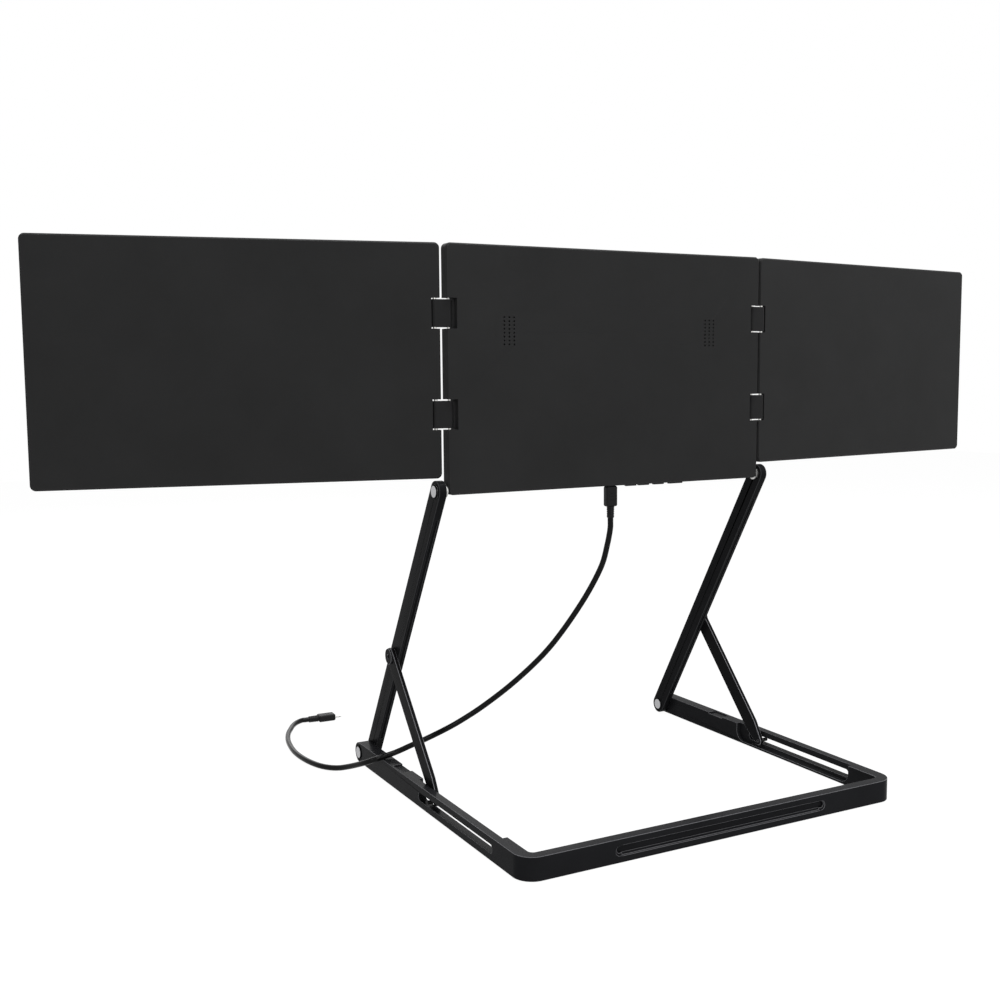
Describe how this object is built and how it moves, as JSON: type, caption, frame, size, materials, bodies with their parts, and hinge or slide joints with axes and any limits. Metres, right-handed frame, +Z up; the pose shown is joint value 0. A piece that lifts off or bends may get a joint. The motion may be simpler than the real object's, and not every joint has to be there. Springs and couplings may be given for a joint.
{
  "type": "laptop screen extender",
  "caption": "Folding laptop screen extender: hinged side displays on a centre display, carried by a U-shaped base with leaning uprights, sliding struts and a cable.",
  "frame": {"origin": "on the table, at the middle of the rubber pad under the base's back bar", "axes": "+Z up, the screens face -Y towards the user, +X along the back bar to the user's right"},
  "size_m": [0.9659, 0.4846, 0.4781],
  "materials": {
    "frame_black": "anodised black, satin",
    "pad_rubber": "matte",
    "pin_steel": "satin",
    "washer_plastic": "matte",
    "strut_black": "satin",
    "housing_plastic": "fine matte texture",
    "bezel_plastic": "matte",
    "screen_glass": "anti-glare",
    "lcd_module": "satin",
    "board_green": "solder mask",
    "switch_plastic": "matte",
    "port_steel": "satin",
    "hinge_black": "satin",
    "button_plastic": "matte",
    "plug_plastic": "satin",
    "cable_jacket": "fine braid texture"
  },
  "bodies": {
    "base": {"base_frame": "frame_black", "base_pads": "pad_rubber", "base_pins": "pin_steel", "base_pin_caps": "pin_steel", "base_washers": "washer_plastic", "cable": "cable_jacket", "far_plug_grip": "plug_plastic", "far_plug_shell": "port_steel"},
    "uprights": {"left_upright": "frame_black", "right_upright": "frame_black", "strut_rivets": "strut_black", "strut_washers": "washer_plastic", "friction_washers": "washer_plastic"},
    "struts": {"left_strut": "strut_black", "right_strut": "strut_black", "foot_pins": "pin_steel", "foot_rollers": "washer_plastic"},
    "display": {"centre_housing": "housing_plastic", "centre_bezel": "bezel_plastic", "centre_glass": "screen_glass", "centre_lcd": "lcd_module", "driver_board": "board_green", "board_screws": "pin_steel", "tact_switches": "switch_plastic", "left_speaker": "switch_plastic", "right_speaker": "switch_plastic", "usb_socket": "port_steel", "display_pins": "pin_steel", "left_centre_pins": "pin_steel", "right_centre_pins": "pin_steel", "near_plug_grip": "plug_plastic", "near_plug_shell": "port_steel"},
    "left_links": {"left_hinge_blocks": "hinge_black"},
    "right_links": {"right_hinge_blocks": "hinge_black"},
    "left_wing": {"left_wing_housing": "housing_plastic", "left_wing_bezel": "bezel_plastic", "left_wing_glass": "screen_glass", "left_wing_lcd": "lcd_module", "left_wing_board": "board_green", "left_wing_pins": "pin_steel"},
    "right_wing": {"right_wing_housing": "housing_plastic", "right_wing_bezel": "bezel_plastic", "right_wing_glass": "screen_glass", "right_wing_lcd": "lcd_module", "right_wing_board": "board_green", "right_wing_pins": "pin_steel"},
    "power_button": {"power_button": "button_plastic"},
    "menu_button": {"menu_button": "button_plastic"},
    "input_button": {"input_button": "button_plastic"},
    "level_rocker": {"level_rocker": "button_plastic"}
  },
  "joints": [
    {"name": "stand_fold", "type": "hinge", "parent": "base", "child": "uprights", "pos_m": [0, -0.3218, 0.01], "axis": [1, 0, 0], "range_deg": [-50.2, 3.8], "deforming": ["cable"]},
    {"name": "strut_swing", "type": "hinge", "parent": "uprights", "child": "struts", "pos_m": [0, -0.25872, 0.11582], "axis": [1, 0, 0], "range_deg": [-9, 93.5]},
    {"name": "display_tilt", "type": "hinge", "parent": "uprights", "child": "display", "pos_m": [0, -0.1644, 0.27404], "axis": [1, 0, 0], "range_deg": [-25, 65], "deforming": ["cable"]},
    {"name": "left_link_turn", "type": "hinge", "parent": "display", "child": "left_links", "pos_m": [-0.1587, -0.1636, 0.38004], "axis": [0, 0, 1], "range_deg": [-8.8, 86.2]},
    {"name": "left_wing_turn", "type": "hinge", "parent": "left_links", "child": "left_wing", "pos_m": [-0.17067, -0.16439, 0.38004], "axis": [0, 0, 1], "range_deg": [-8.8, 86.2]},
    {"name": "right_link_turn", "type": "hinge", "parent": "display", "child": "right_links", "pos_m": [0.1587, -0.1636, 0.38004], "axis": [0, 0, -1], "range_deg": [-95.9, 19.1]},
    {"name": "right_wing_turn", "type": "hinge", "parent": "right_links", "child": "right_wing", "pos_m": [0.17064, -0.16483, 0.38004], "axis": [0, 0, -1], "range_deg": [-95.9, 19.1]},
    {"name": "power_button_press", "type": "slide", "parent": "display", "child": "power_button", "axis": [0, 0, 1], "range_m": [0, 0.0004], "stiffness_N_per_m": 2500, "springref_m": -0.0002},
    {"name": "menu_button_press", "type": "slide", "parent": "display", "child": "menu_button", "axis": [0, 0, 1], "range_m": [0, 0.0004], "stiffness_N_per_m": 2500, "springref_m": -0.0002},
    {"name": "input_button_press", "type": "slide", "parent": "display", "child": "input_button", "axis": [0, 0, 1], "range_m": [0, 0.0004], "stiffness_N_per_m": 2500, "springref_m": -0.0002},
    {"name": "level_rocker_tilt", "type": "hinge", "parent": "display", "child": "level_rocker", "pos_m": [-0.0706, -0.163, 0.27344], "axis": [0, 1, 0], "range_deg": [-4, 4], "stiffness_Nm_per_rad": 0.25}
  ],
  "couplings": [
    {"joint": "strut_swing", "follows": "stand_fold", "ratio": -1.795},
    {"joint": "left_link_turn", "follows": "left_wing_turn", "ratio": 1},
    {"joint": "right_link_turn", "follows": "right_wing_turn", "ratio": 1}
  ]
}
